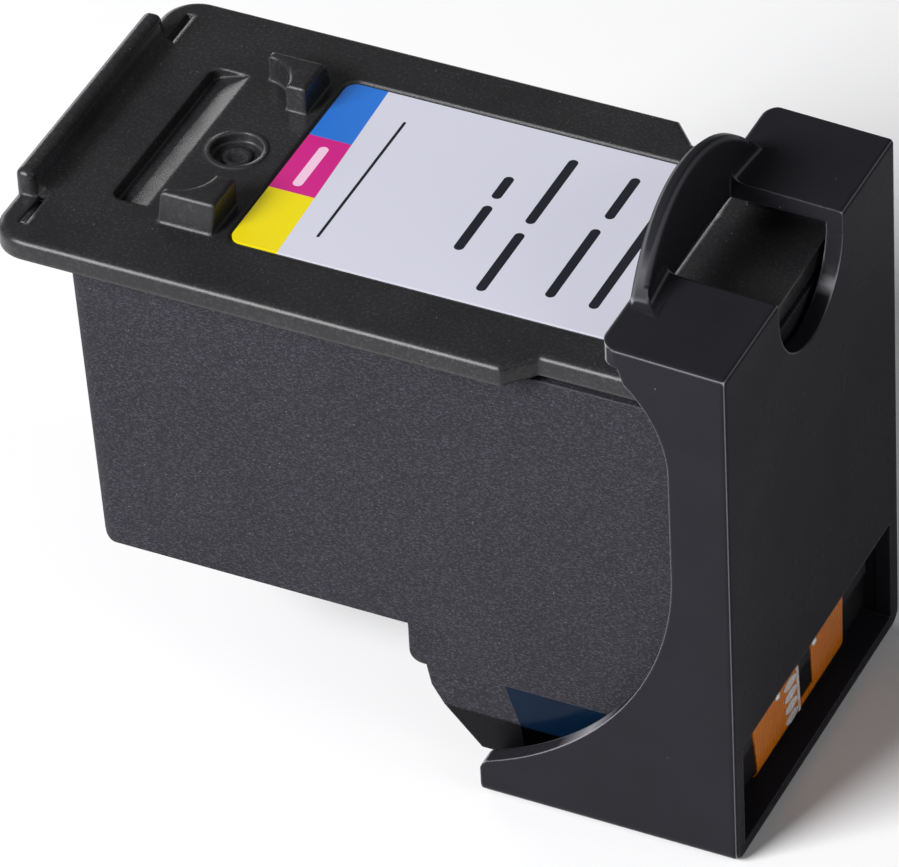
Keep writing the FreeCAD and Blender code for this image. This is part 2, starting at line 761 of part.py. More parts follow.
def cheek_outline():
    """The cheek's side outline, with the long arc that leaves the tank's side open."""
    reach = clip_front - cheek_setback
    centre = vec(reach - cheek_arc_radius, 0, cheek_arc_height)
    tip_x = centre.x + math.sqrt(cheek_arc_radius ** 2 - (centre.z - cheek_tip_height) ** 2)
    tip_angle = math.atan2(cheek_tip_height - centre.z, tip_x - centre.x)
    middle = centre + vec(math.cos(tip_angle / 2), 0, math.sin(tip_angle / 2)) * cheek_arc_radius
    top_x = clip_front - cheek_top_length
    points = {
        "rear_foot": vec(clip_floor_start, 0, 0),
        "front_foot": vec(clip_front, 0, 0),
        "front_top": vec(clip_front, 0, clip_plate_top),
        "top_rear": vec(top_x, 0, plate_top_at(top_x)),
        "bend_high": vec(top_x + cheek_top_run, 0, clip_plate_top - cheek_top_drop),
        "bend_low": vec(reach, 0, clip_plate_top - cheek_bend_drop),
        "arc_top": vec(reach, 0, centre.z),
        "tip": vec(tip_x, 0, cheek_tip_height),
        "rear_rise": vec(clip_floor_start, 0, cheek_tip_height - cheek_tip_radius),
    }
    bend = (points["bend_low"] + points["bend_high"]) * 0.5 + vec(cheek_bend_bulge, 0, cheek_bend_bulge / 2)
    corner = (points["tip"] + points["rear_rise"]) * 0.5 + vec(-cheek_tip_radius, 0, cheek_tip_radius) * 0.15
    through = {"bend_high": bend, "arc_top": middle, "tip": corner}
    names = list(points)
    edges = []
    for here, there in zip(names, names[1:] + names[:1]):
        if here in through:
            edges.append(Part.Arc(points[here], through[here], points[there]).toShape())
        else:
            edges.append(Part.LineSegment(points[here], points[there]).toShape())
    return Part.Wire(edges)


def top_plate():
    """The top plate, rising a little to the rear, with rounded rear corners."""
    outline = [(clip_plate_start, clip_plate_bottom), (clip_front, clip_plate_bottom), (clip_front, clip_plate_top),
               (clip_plate_start, clip_plate_top + clip_plate_rise)]
    shape = side_prism(outline, -clip_outer, clip_outer)
    return rounded(shape, clip_corner_radius, lambda b: at(b.XMax, clip_plate_start) and flat(b.YMin, b.YMax))


def plate_top_at(x):
    """The height of the top plate's upper face at a place along the part."""
    return clip_plate_top + clip_plate_rise * (clip_front - x) / clip_plate_length


def tab_front_outline():
    """The tab from the front: a round crest that runs into the plate by a hollow fillet at each end."""
    base = plate_top_at(clip_plate_start)
    centre = vec(tab_rear, 0, base + tab_height - tab_radius)
    rise = base + tab_fillet - centre.z
    foot = math.sqrt((tab_radius + tab_fillet) ** 2 - rise ** 2)
    share = tab_radius / (tab_radius + tab_fillet)
    ends, joins, feet = [], [], []
    for sign in (-1, 1):
        ends.append(vec(tab_rear, sign * foot, base))
        joins.append(vec(tab_rear, sign * foot * share, centre.z + rise * share))
        feet.append(vec(tab_rear, sign * foot, clip_plate_bottom))
    edges = [arc_about(ends[0] + vec(0, 0, tab_fillet), ends[0], joins[0]),
             Part.Arc(joins[0], centre + vec(0, 0, tab_radius), joins[1]).toShape(),
             arc_about(ends[1] + vec(0, 0, tab_fillet), joins[1], ends[1]),
             Part.LineSegment(ends[1], feet[1]).toShape(),
             Part.LineSegment(feet[1], feet[0]).toShape(),
             Part.LineSegment(feet[0], ends[0]).toShape()]
    return Part.Face(Part.Wire(edges)).extrude(vec(clip_plate_length, 0, 0))


def swept_about_tab(face):
    """A side outline swept about the upright axis that gives the tab its slight bend."""
    reach = 2 * math.degrees(math.asin(tab_radius / tab_curve_radius))
    face.rotate(vec(tab_rear + tab_curve_radius, 0, 0), vec(0, 0, 1), -reach / 2)
    return face.revolve(vec(tab_rear + tab_curve_radius, 0, 0), vec(0, 0, 1), reach)


def thumb_tab():
    """The upright thumb tab, a wall with a bevelled rim, slightly hollow towards the front."""
    top = clip_plate_top + clip_plate_rise + tab_height + 1
    wire = Part.makePolygon([vec(x, 0, z) for x, z in
                             ((tab_rear, clip_plate_bottom), (tab_front, clip_plate_bottom), (tab_front, top),
                              (tab_rear, top), (tab_rear, clip_plate_bottom))])
    tab = swept_about_tab(Part.Face(wire)).common(tab_front_outline())
    rim = [edge for edge in tab.Edges if edge.BoundBox.ZMax > top - 1.1]
    return tab.makeChamfer(tab_rim_bevel, rim)


def tab_root():
    """The hollow fillet that blends the tab's front face into the top plate."""
    start = vec(tab_front, 0, plate_top_at(tab_front) + tab_fillet)
    end = vec(tab_front + tab_fillet, 0, plate_top_at(tab_front + tab_fillet))
    below = vec(0, 0, -clip_plate_thickness / 2)
    inside = vec(-tab_thickness / 2, 0, 0)
    corner = start + inside
    low = end + below
    edges = [arc_about(vec(end.x, 0, start.z), start, end),
             Part.LineSegment(end, low).toShape(),
             Part.LineSegment(low, vec(corner.x, 0, low.z)).toShape(),
             Part.LineSegment(vec(corner.x, 0, low.z), corner).toShape(),
             Part.LineSegment(corner, start).toShape()]
    return swept_about_tab(Part.Face(Part.Wire(edges))).common(tab_front_outline())


def clip_body():
    """The U of the cheeks, end wall and floor, closed by the top plate."""
    body = Part.Face(cheek_outline()).extrude(vec(0, 2 * clip_outer, 0))
    body.translate(vec(0, -clip_outer, 0))
    body = rounded(body, clip_foot_radius, lambda b: at(b.ZMax, 0) and flat(b.YMin, b.YMax))
    body = union([body, top_plate()])
    wall_side = clip_outer - clip_wall
    body = rounded(body, clip_edge_radius,
                   lambda b: (at(b.XMin, clip_front) and b.ZMax > clip_foot_radius + 1)
                   or (b.ZMin > clip_plate_top - 0.01 and b.XMax > clip_front - 0.01
                       and min(abs(b.YMin), abs(b.YMax)) > wall_side))
    hollow = box(clip_floor_start - 1, clip_inner_front, -clip_inner, clip_inner, clip_floor, clip_plate_bottom)
    return body.cut(hollow)


def finger_hole():
    """The hole in the top plate that runs on as a round-ended slot in the end wall."""
    half = finger_hole_width / 2
    bottom = clip_plate_top - finger_hole_drop
    over = 2.0
    high = clip_plate_top + clip_plate_rise + over
    plan = box(tab_rear, clip_front + over, -half, half, clip_plate_bottom - 1, high)
    bend = upright(tab_rear + tab_curve_radius, 0, clip_plate_bottom - 1, high, tab_curve_radius - tab_thickness)
    plan = plan.common(bend)
    slot = box(clip_inner_front - 1, clip_front + over, -half, half, bottom + half, high)
    end = Part.makeCylinder(half, clip_front + over - clip_inner_front + 1,
                            vec(clip_inner_front - 1, 0, bottom + half), vec(1, 0, 0))
    return [plan, slot, end]


def end_window():
    """The wide window low in the end wall, through which the flex circuit shows."""
    half = clip_inner - window_side_land
    return box(clip_inner_front - 1, clip_front + 1, -half, half, clip_floor, clip_floor + window_height)


def clip_ribs():
    """Two ribs under the top plate that keep the lid from lifting."""
    ribs = []
    for sign in (-1, 1):
        y = sign * clip_rib_span / 2
        ribs.append(box(clip_plate_start + tab_thickness, clip_inner_front, y - clip_rib_width / 2,
                        y + clip_rib_width / 2, lid_top + clip_rib_clearance, clip_plate_bottom))
    return ribs


def transport_clip():
    shape = union([clip_body(), thumb_tab(), tab_root()] + clip_ribs())
    for cut in finger_hole() + [end_window()]:
        shape = shape.cut(cut)
    return shape.removeSplitter()


os.makedirs("parts", exist_ok=True)

save(housing(), "housing")
save(lid(), "lid")
save(label(), "label")
for name, shape in list(foams().items()) + list(filters().items()):
    save(shape, name)
save(head_plate(), "head_plate")
save(print_head_die(), "print_head_die")
save(nozzle_plate(), "nozzle_plate")
save(encapsulant_beads(), "encapsulant_beads")
save(flex_circuit(), "flex_circuit")
save(contact_pads(), "contact_pads")
save(test_pads(), "test_pads")
save(nozzle_tape(), "nozzle_tape")
save(transport_clip(), "transport_clip")
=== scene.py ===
import math

import bmesh
import bpy
from mathutils import Matrix, Vector


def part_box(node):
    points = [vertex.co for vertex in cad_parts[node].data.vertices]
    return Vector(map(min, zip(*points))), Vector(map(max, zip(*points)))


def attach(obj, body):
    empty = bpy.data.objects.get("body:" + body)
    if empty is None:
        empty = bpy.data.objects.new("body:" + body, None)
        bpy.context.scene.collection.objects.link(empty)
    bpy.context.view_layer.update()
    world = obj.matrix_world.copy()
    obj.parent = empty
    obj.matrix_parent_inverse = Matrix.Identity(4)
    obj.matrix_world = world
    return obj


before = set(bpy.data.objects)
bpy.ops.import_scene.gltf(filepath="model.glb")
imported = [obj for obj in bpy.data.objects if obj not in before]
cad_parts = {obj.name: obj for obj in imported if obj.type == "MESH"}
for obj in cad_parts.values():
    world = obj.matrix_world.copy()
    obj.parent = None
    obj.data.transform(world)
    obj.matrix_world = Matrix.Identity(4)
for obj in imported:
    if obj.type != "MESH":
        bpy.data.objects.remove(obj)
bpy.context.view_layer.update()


# Camera. A long lens, far back, looks down at 39 degrees on the near side and the clip's end wall,
# as the photograph does, and is rolled a little.

LENS_MM = 335.0
SENSOR_MM = 36.0
VIEW_AZIMUTH = math.radians(27.23)
VIEW_ELEVATION = math.radians(39.36)
VIEW_ROLL = math.radians(-3.071)
VIEW_TARGET = Vector((-0.003528, 0.006225, 0.016193))
VIEW_DISTANCE = 0.68085
NEAREST_SEEN = 0.05
FURTHEST_SEEN = 20


def place_camera():
    """Sets the camera back from its target, turned by azimuth, elevation and roll."""
    level = Vector((math.cos(VIEW_AZIMUTH), math.sin(VIEW_AZIMUTH), 0))
    back = Vector((math.sin(VIEW_AZIMUTH) * math.cos(VIEW_ELEVATION),
                   -math.cos(VIEW_AZIMUTH) * math.cos(VIEW_ELEVATION), math.sin(VIEW_ELEVATION)))
    upright = back.cross(level)
    right = level * math.cos(VIEW_ROLL) + upright * math.sin(VIEW_ROLL)
    up = upright * math.cos(VIEW_ROLL) - level * math.sin(VIEW_ROLL)
    data = bpy.data.cameras.new("camera")
    data.lens = LENS_MM
    data.sensor_width = SENSOR_MM
    data.sensor_fit = "HORIZONTAL"
    data.clip_start = NEAREST_SEEN
    data.clip_end = FURTHEST_SEEN
    camera = bpy.data.objects.new("camera", data)
    bpy.context.collection.objects.link(camera)
    turn = Matrix((right, up, back)).transposed().to_4x4()
    camera.matrix_world = Matrix.Translation(VIEW_TARGET + back * VIEW_DISTANCE) @ turn
    bpy.context.scene.camera = camera


place_camera()


# Housing. The ink tank and nose, one black injection moulding with a spark-eroded texture on its
# outside, which shows as a fine light speckle. Below a height the tip of the nose is painted near
# black and made metallic: painted shade, where the downward-facing tip lies in shade.

HOUSING_BLACK = (0.0235, 0.0228, 0.0276, 1)
HOUSING_SPECKLE = (0.078, 0.0758, 0.091, 1)
HOUSING_STRETCH = (0.5, 1, 1.1)
HOUSING_TIP_SHADE_SHARE = 0.85
# Light grey painted on the edges of the mouldings: edge wear and painted highlight.
EDGE_WEAR_AND_HIGHLIGHT_GREY = (0.16, 0.16, 0.17, 1)
DUST_GREY = (0.13, 0.13, 0.13, 1)
DUST_CELLS = 2200
DUST_SIZE = 0.12
CLOUD_SCALE = 120
SPECK_GAIN = 3.5
GRAIN_STRENGTH = 0.6
BEVEL_SAMPLES = 8
EDGE_SPAN = (0, 0.4)
# Near black, top height and blend of the painted shade on the nose's tip; the near black also darkens the
# clouds of every moulding.
TIP_SHADE_AND_CLOUD_BLACK = (0.004, 0.004, 0.005, 1)
TIP_SHADE_TOP = 0.00622
TIP_SHADE_BLEND = 0.00015

# Nearly all of a noise's values lie in the wide span, and most of them in the narrow one.

WIDE_SPAN = (0.3, 0.7)
NARROW_SPAN = (0.35, 0.65)


def new_material(name):
    """A material with its node tree and its Principled shader."""
    material = bpy.data.materials.new(name)
    material.use_nodes = True
    tree = material.node_tree
    tree.nodes.clear()
    shader = tree.nodes.new("ShaderNodeBsdfPrincipled")
    output = tree.nodes.new("ShaderNodeOutputMaterial")
    tree.links.new(shader.outputs["BSDF"], output.inputs["Surface"])
    return material, tree, shader


def shader_of(material):
    """The node tree of a material and its Principled shader."""
    tree = material.node_tree
    return tree, tree.nodes["Principled BSDF"]


def give(tree, socket, source):
    """Gives an input a value, or links it to an output."""
    if isinstance(source, bpy.types.NodeSocket):
        tree.links.new(source, socket)
    else:
        socket.default_value = source


def add(tree, kind, settings=None, inputs=None):
    """A shader node of a kind, with its settings, and its inputs as values or outputs."""
    node = tree.nodes.new("ShaderNode" + kind)
    for name, value in (settings or {}).items():
        setattr(node, name, value)
    for name, source in (inputs or {}).items():
        give(tree, node.inputs[name], source)
    return node


def worked_out(tree, operation, *sources):
    """The result of a Math node on values or outputs."""
    return add(tree, "Math", {"operation": operation}, dict(enumerate(sources))).outputs[0]


def ranged(tree, source, span, to=(0, 1)):
    """Maps an output from one range to another, held at both ends."""
    node = add(tree, "MapRange", inputs={
        "Value": source, "From Min": span[0], "From Max": span[1], "To Min": to[0], "To Max": to[1]})
    return node.outputs["Result"]


def blended(tree, mask, low, high):
    """Mixes two colours, each a value or an output, by a mask."""
    return add(tree, "Mix", {"data_type": "RGBA"}, {"Factor": mask, "A": low, "B": high}).outputs["Result"]


def own_place(tree):
    """Place of a point in its piece's own coordinates."""
    return add(tree, "TexCoord").outputs["Object"]


def own_axes(tree):
    """X, Y and Z of that place."""
    return add(tree, "SeparateXYZ", inputs={"Vector": own_place(tree)}).outputs


def relief(tree, height, depth, strength=1.0, normal=None):
    """A normal that leans with a height."""
    bump = add(tree, "Bump", inputs={"Strength": strength, "Distance": depth, "Height": height})
    if normal is not None:
        give(tree, bump.inputs["Normal"], normal)
    return bump.outputs["Normal"]


def new_group(name, inputs, outputs):
    """An empty node group: its tree, the outputs of its input node, and the inputs of its output node."""
    tree = bpy.data.node_groups.new(name, "ShaderNodeTree")
    for label, kind, value in inputs:
        socket = tree.interface.new_socket(label, in_out="INPUT", socket_type="NodeSocket" + kind)
        socket.default_value = value
    for label, kind in outputs:
        tree.interface.new_socket(label, in_out="OUTPUT", socket_type="NodeSocket" + kind)
    return tree, tree.nodes.new("NodeGroupInput").outputs, tree.nodes.new("NodeGroupOutput").inputs


def placed(tree, group, inputs):
    """Places a node group in a material with its own values, and gives its outputs."""
    return add(tree, "Group", {"node_tree": group}, inputs).outputs


def mould_grain_group():
    """Grain of a moulded surface: a height, a mask of light specks and slow clouds."""
    group, given, result = new_group(
        "mould_grain",
        [("Grain Scale", "Float", 4500), ("Speck Level", "Float", 0.6), ("Stretch", "Vector", (1, 1, 1))],
        [("Height", "Float"), ("Specks", "Float"), ("Clouds", "Float")])
    place = own_place(group)
    stretched = add(group, "VectorMath", {"operation": "MULTIPLY"}, {0: place, 1: given["Stretch"]})
    grain = add(group, "TexNoise", inputs={
        "Vector": stretched.outputs[0], "Scale": given["Grain Scale"], "Detail": 3, "Roughness": 0.65})
    clouds = add(group, "TexNoise", inputs={
        "Vector": place, "Scale": CLOUD_SCALE, "Detail": 4, "Roughness": 0.6})
    above = worked_out(group, "SUBTRACT", grain.outputs["Fac"], given["Speck Level"])
    specks = add(group, "Math", {"operation": "MULTIPLY", "use_clamp": True}, {0: above, 1: SPECK_GAIN})
    give(group, result["Height"], grain.outputs["Fac"])
    give(group, result["Specks"], specks.outputs[0])
    give(group, result["Clouds"], clouds.outputs["Fac"])
    return group


def soft_edge_group():
    """Softened edges of a moulding: a normal rounded by a radius, and a mask of the edges."""
    group, given, result = new_group(
        "soft_edge", [("Radius", "Float", 0.0002)], [("Normal", "Vector"), ("Edge", "Float")])
    bevel = add(group, "Bevel", {"samples": BEVEL_SAMPLES}, {"Radius": given["Radius"]})
    facing = add(group, "NewGeometry")
    match = add(group, "VectorMath", {"operation": "DOT_PRODUCT"},
                {0: bevel.outputs["Normal"], 1: facing.outputs["Normal"]})
    turn = worked_out(group, "SUBTRACT", 1, match.outputs["Value"])
    give(group, result["Normal"], bevel.outputs["Normal"])
    give(group, result["Edge"], ranged(group, turn, EDGE_SPAN))
    return group


def dust_group():
    """Sparse specks of dust: small discs at a few random cell centres."""
    group, given, result = new_group("dust", [("Share", "Float", 0.2)], [("Specks", "Float")])
    cells = add(group, "TexVoronoi", inputs={"Vector": own_place(group), "Scale": DUST_CELLS})
    apart = add(group, "SeparateColor", inputs={"Color": cells.outputs["Color"]})
    near = worked_out(group, "LESS_THAN", cells.outputs["Distance"], DUST_SIZE)
    few = worked_out(group, "LESS_THAN", apart.outputs["Red"], given["Share"])
    give(group, result["Specks"], worked_out(group, "MULTIPLY", near, few))
    return group


def tip_shade_group():
    """Mask of the painted shade on the nose's tip: a share below its top, and nothing above."""
    group, given, result = new_group("tip_shade", [("Share", "Float", 1)], [("Mask", "Float")])
    span = (TIP_SHADE_TOP - TIP_SHADE_BLEND, TIP_SHADE_TOP + TIP_SHADE_BLEND)
    give(group, result["Mask"], ranged(group, own_axes(group)["Z"], span, (given["Share"], 0)))
    return group


mould_grain = mould_grain_group()
soft_edge = soft_edge_group()
dust = dust_group()
tip_shade = tip_shade_group()


def moulded_plastic(name, base, speck, speck_level, grain_scale, grain_depth, roughness, bevel, edge_wear_and_highlight,
                    dust_share, drift, gloss, stretch=(1, 1, 1)):
    """Black moulded plastic: a speckled base that drifts darker, with edges lightened as wear and painted
    highlight, and a little dust.
    """
    material, tree, shader = new_material(name)
    grain = placed(tree, mould_grain, {
        "Grain Scale": grain_scale, "Speck Level": speck_level, "Stretch": stretch})
    rounded = placed(tree, soft_edge, {"Radius": bevel})
    specks = placed(tree, dust, {"Share": dust_share})
    # Edge wear and painted highlight: the edges are lightened by this mask.
    edge_wear_and_highlight_mask = worked_out(tree, "MULTIPLY", rounded["Edge"], edge_wear_and_highlight)
    darker = ranged(tree, grain["Clouds"], NARROW_SPAN, (0, drift))
    colour = blended(tree, grain["Specks"], base, speck)
    colour = blended(tree, darker, colour, TIP_SHADE_AND_CLOUD_BLACK)
    colour = blended(tree, edge_wear_and_highlight_mask, colour, EDGE_WEAR_AND_HIGHLIGHT_GREY)
    colour = blended(tree, specks["Specks"], colour, DUST_GREY)
    give(tree, shader.inputs["Base Color"], colour)
    give(tree, shader.inputs["Roughness"], ranged(tree, grain["Clouds"], WIDE_SPAN, roughness))
    give(tree, shader.inputs["Normal"],
         relief(tree, grain["Height"], grain_depth, GRAIN_STRENGTH, rounded["Normal"]))
    shader.inputs["Specular IOR Level"].default_value = gloss
    return material


def paint_tip_shade(material, share):
    """Paints a finish near black and makes it metallic at the tip of the nose: painted shade."""
    tree, shader = shader_of(material)
    mask = placed(tree, tip_shade, {"Share": share})["Mask"]
    finish = shader.inputs["Base Color"].links[0].from_socket
    give(tree, shader.inputs["Base Color"], blended(tree, mask, finish, TIP_SHADE_AND_CLOUD_BLACK))
    give(tree, shader.inputs["Metallic"], mask)


def dress(node, material):
    """Gives a node of the frame its finish."""
    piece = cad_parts[node]
    piece.data.materials.clear()
    piece.data.materials.append(material)


housing_plastic = moulded_plastic(
    "housing_plastic", base=HOUSING_BLACK, speck=HOUSING_SPECKLE, speck_level=0.48, grain_scale=8200,
    grain_depth=0.00003, roughness=(0.49, 0.61), bevel=0.00025, edge_wear_and_highlight=0.5, dust_share=0.04, drift=0.08,
    gloss=0.03, stretch=HOUSING_STRETCH)
# Painted shade: the tip of the nose is painted near black.
paint_tip_shade(housing_plastic, HOUSING_TIP_SHADE_SHARE)
dress("housing", housing_plastic)


# Foams. Three blocks of felted sponge, each soaked in its own ink and pressed into its chamber
# before the lid goes on.

FOAM_INKS = {"foam_rear": (0.3, 0.008, 0.12, 1), "foam_near": (0.62, 0.45, 0.01, 1),
             "foam_far": (0.008, 0.16, 0.42, 1)}
FOAM_CELLS = 2600
PORE_SHADE = 0.3
PORE_DEPTH = 0.0001


def foam_pores_group():
    """Open cells of the sponge: a mask that grows from the middle of a pore to its wall."""
    group, given, result = new_group("foam_pores", [("Cells", "Float", FOAM_CELLS)], [("Walls", "Float")])
    cells = add(group, "TexVoronoi", inputs={"Vector": own_place(group), "Scale": given["Cells"]})
    give(group, result["Walls"], cells.outputs["Distance"])
    return group


def shade(colour, share):
    """A colour with its three parts scaled."""
    return [part * share for part in colour[:3]] + [1]


def foam_material(name, ink):
    """Wet sponge, darker in its pores."""
    material, tree, shader = new_material(name)
    walls = placed(tree, foam_pores, {"Cells": FOAM_CELLS})["Walls"]
    give(tree, shader.inputs["Base Color"], blended(tree, walls, shade(ink, PORE_SHADE), ink))
    give(tree, shader.inputs["Roughness"], ranged(tree, walls, (0, 1), (0.2, 0.5)))
    give(tree, shader.inputs["Normal"], relief(tree, walls, PORE_DEPTH))
    return material


foam_pores = foam_pores_group()
for foam, ink in FOAM_INKS.items():
    dress(foam, foam_material(foam + "_ink", ink))


# Filters. Fine woven steel screens, one heat-staked on each of the three standpipes, so that no
# fibre of the foam reaches the print head.

MESH_STEEL = (0.5, 0.5, 0.49, 1)
MESH_SHADE = (0.05, 0.05, 0.05, 1)
MESH_SCALE = 450
MESH_DEPTH = 0.00003


def filter_material():
    """Woven mesh: two crossed sets of fine waves."""
    material, tree, shader = new_material("filter_mesh")
    place = own_place(tree)
    wires = [add(tree, "TexWave", {"bands_direction": axis}, {"Vector": place, "Scale": MESH_SCALE})
             for axis in ("X", "Y")]
    weave = worked_out(tree, "MAXIMUM", *[wire.outputs["Fac"] for wire in wires])
    give(tree, shader.inputs["Base Color"], blended(tree, weave, MESH_SHADE, MESH_STEEL))
    give(tree, shader.inputs["Roughness"], ranged(tree, weave, (0, 1), (0.6, 0.3)))
    give(tree, shader.inputs["Normal"], relief(tree, weave, MESH_DEPTH))
    shader.inputs["Metallic"].default_value = 1
    return material


filter_mesh = filter_material()
for screen in ("filter_near", "filter_far", "filter_rear"):
    dress(screen, filter_mesh)


# Print head. A ceramic plate on the foot of the nose carries the silicon die, the plated nozzle
# plate covers it, and beads of cured resin seal its two ends.

CERAMIC = (0.62, 0.6, 0.55, 1)
SILICON = (0.05, 0.05, 0.065, 1)
PLATED = (0.75, 0.58, 0.3, 1)
RESIN = (0.012, 0.012, 0.013, 1)


def fine_grain_group():
    """Fine even grain: a height, and a mask between the surface's two tones."""
    group, given, result = new_group(
        "fine_grain", [("Grain Scale", "Float", 1000)], [("Height", "Float"), ("Tones", "Float")])
    noise = add(group, "TexNoise", inputs={
        "Vector": own_place(group), "Scale": given["Grain Scale"], "Detail": 5, "Roughness": 0.6})
    give(group, result["Height"], noise.outputs["Fac"])
    give(group, result["Tones"], ranged(group, noise.outputs["Fac"], NARROW_SPAN))
    return group


def fine_surface(name, tones, grain_scale, grain_depth, roughness, metallic=0, gloss=0.5):
    """A fine even surface: two near tones, with a small drift of roughness and height."""
    material, tree, shader = new_material(name)
    grain = placed(tree, fine_grain, {"Grain Scale": grain_scale})
    give(tree, shader.inputs["Base Color"], blended(tree, grain["Tones"], *tones))
    give(tree, shader.inputs["Roughness"], ranged(tree, grain["Height"], WIDE_SPAN, roughness))
    give(tree, shader.inputs["Normal"], relief(tree, grain["Height"], grain_depth))
    shader.inputs["Metallic"].default_value = metallic
    shader.inputs["Specular IOR Level"].default_value = gloss
    return material


fine_grain = fine_grain_group()
dress("head_plate", fine_surface("head_ceramic", (shade(CERAMIC, 0.85), CERAMIC), grain_scale=1800,
                                 grain_depth=0.00001, roughness=(0.45, 0.6)))
dress("print_head_die", fine_surface("die_silicon", (shade(SILICON, 0.8), SILICON), grain_scale=600,
                                     grain_depth=0.000001, roughness=(0.12, 0.2), metallic=0.6))
dress("nozzle_plate", fine_surface("nozzle_metal", (shade(PLATED, 0.9), PLATED), grain_scale=900,
                                   grain_depth=0.000002, roughness=(0.2, 0.3), metallic=1))
dress("encapsulant_beads", fine_surface("bead_resin", (shade(RESIN, 0.7), RESIN), grain_scale=400,
                                        grain_depth=0.00001, roughness=(0.2, 0.35)))


# Lid. A black moulding welded on the housing, satin on top, with a rib along its rear edge, a
# finger pocket, a round recess and two lugs. The rib's flank, the end of its groove and the boss in
# the recess are added here to the lid's solid.

LID_BLACK = (0.021, 0.021, 0.0225, 1)
LID_SPECKLE = (0.052, 0.052, 0.056, 1)

lid_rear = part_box("lid")[0][0]
lid_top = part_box("label")[1][2]
lid_plastic = moulded_plastic(
    "lid_plastic", base=LID_BLACK, speck=LID_SPECKLE, speck_level=0.5, grain_scale=3800,
    grain_depth=0.000015, roughness=(0.22, 0.32), bevel=0.0005, edge_wear_and_highlight=0.3, dust_share=0.03, drift=0.4,
    gloss=0.25)
dress("lid", lid_plastic)


def smooth_piece(name, rings, material):
    """A closed smooth piece of the cartridge from rings of points, capped at both ends."""
    mesh = bpy.data.meshes.new(name)
    build = bmesh.new()
    loops = [[build.verts.new(point) for point in ring] for ring in rings]
    for loop, after in zip(loops, loops[1:]):
        for k in range(len(loop)):
            build.faces.new((loop[k - 1], loop[k], after[k], after[k - 1]))
    build.faces.new(list(reversed(loops[0])))
    build.faces.new(loops[-1])
    bmesh.ops.recalc_face_normals(build, faces=build.faces)
    build.to_mesh(mesh)
    build.free()
    for face in mesh.polygons:
        face.use_smooth = len(face.vertices) == 4
    mesh.materials.append(material)
    piece = bpy.data.objects.new(name, mesh)
    bpy.context.collection.objects.link(piece)
    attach(piece, "cartridge")


# The flank's section runs from the rib's inner face down to the plate, as places from the lid's rear
# edge and heights over its top. It shrinks towards the rib's core at both ends.

RIB_HALF_LENGTH = 0.0113
RIB_END_TAPER = 0.0009
RIB_TAPER_STEPS = 6
RIB_END_WIDTH = 0.15
RIB_END_HEIGHT = 0.4
RIB_CORE_X = 0.0011
RIB_FLANK = [(0.0006, -0.0003), (0.0006, 0.0017), (0.00095, 0.00212), (0.00125, 0.00215), (0.0015, 0.00195),
             (0.00172, 0.00155), (0.0019, 0.00105), (0.0021, 0.00062), (0.00235, 0.0003), (0.00265, 0.00011),
             (0.003, 0.00003), (0.0033, -0.00002), (0.0033, -0.0003)]


def rib_flank():
    """The rib's sloping flank with its hollow foot, tapered off at both ends."""
    turns = [math.pi / 2 * (1 - step / RIB_TAPER_STEPS) for step in range(RIB_TAPER_STEPS + 1)]
    stations = [(-RIB_HALF_LENGTH + RIB_END_TAPER * (1 - math.sin(turn)), max(math.cos(turn), RIB_END_WIDTH))
                for turn in turns]
    stations += [(-y, share) for y, share in reversed(stations)]
    rings = []
    for y, share in stations:
        tall = RIB_END_HEIGHT + (1 - RIB_END_HEIGHT) * share
        rings.append([(lid_rear + RIB_CORE_X + (x - RIB_CORE_X) * share, y, lid_top + height * tall)
                      for x, height in RIB_FLANK])
    smooth_piece("rib_flank", rings, lid_plastic)


# The fill's section lies in the groove, and its top falls from the groove's near end to the rib.

FILL_SECTION = [(0.00185, -0.00042), (0.00185, -0.00014), (0.002, -0.00008), (0.0025, -0.00008),
                (0.0027, -0.00014), (0.0027, -0.00042)]
FILL_FALL = [(-0.01485, 0.00006), (-0.0134, 0.00002), (-0.0114, -0.00024)]


def groove_fill():
    """Runs the groove out softly past the near end of the rib."""
    rings = [[(lid_rear + x, y, lid_top + height + rise) for x, height in FILL_SECTION]
             for y, rise in FILL_FALL]
    smooth_piece("groove_fill", rings, lid_plastic)


# The boss's profile goes up its side, over the rim and down into the dimple, as radii and heights
# over the lid's top.

BOSS_X = 0.0138
BOSS_SIDES = 48
BOSS_PROFILE = [(0.00095, -0.0013), (0.00095, -0.00084), (0.0013, -0.00084), (0.0013, -0.00068),
                (0.00122, -0.00056), (0.00105, -0.0005), (0.00085, -0.00052), (0.00068, -0.00062),
                (0.00055, -0.00078), (0.00045, -0.0008), (0.0003, -0.00076), (0.00015, -0.00073)]


def circle(radius, sides):
    """Points of a circle."""
    turns = [math.tau * k / sides for k in range(sides)]
    return [(radius * math.cos(turn), radius * math.sin(turn)) for turn in turns]


def recess_boss():
    """The dimpled boss on the floor of the round recess."""
    rings = [[(lid_rear + BOSS_X + x, y, lid_top + height) for x, y in circle(radius, BOSS_SIDES)]
             for radius, height in BOSS_PROFILE]
    smooth_piece("recess_boss", rings, lid_plastic)


rib_flank()
groove_fill()
recess_boss()


# Label. A printed film laid in the lid's shallow bed: three colour bands at its rear end and a pale
# field with plain dark bars. The ink is sealed under a clear gloss coat.

LABEL_PAPER = (0.62, 0.62, 0.72, 1)
LABEL_COAT = 0.2
BAND_COLOURS = [(0.8, 0.66, 0.001, 1), (0.58, 0.014, 0.22, 1), (0.02, 0.165, 0.62, 1)]
BAND_WIDTH = 0.0073
BAND_LENGTH = 0.0039
BAND_SKEW = 0.04
PRINT_BLUR = 0.00003
RIPPLE_SCALE = 160
RIPPLE_DEPTH = 0.00004
RIPPLE_STRENGTH = 0.25

# Each bar is the X and Y of its middle from the label's rear far corner, and half its length.

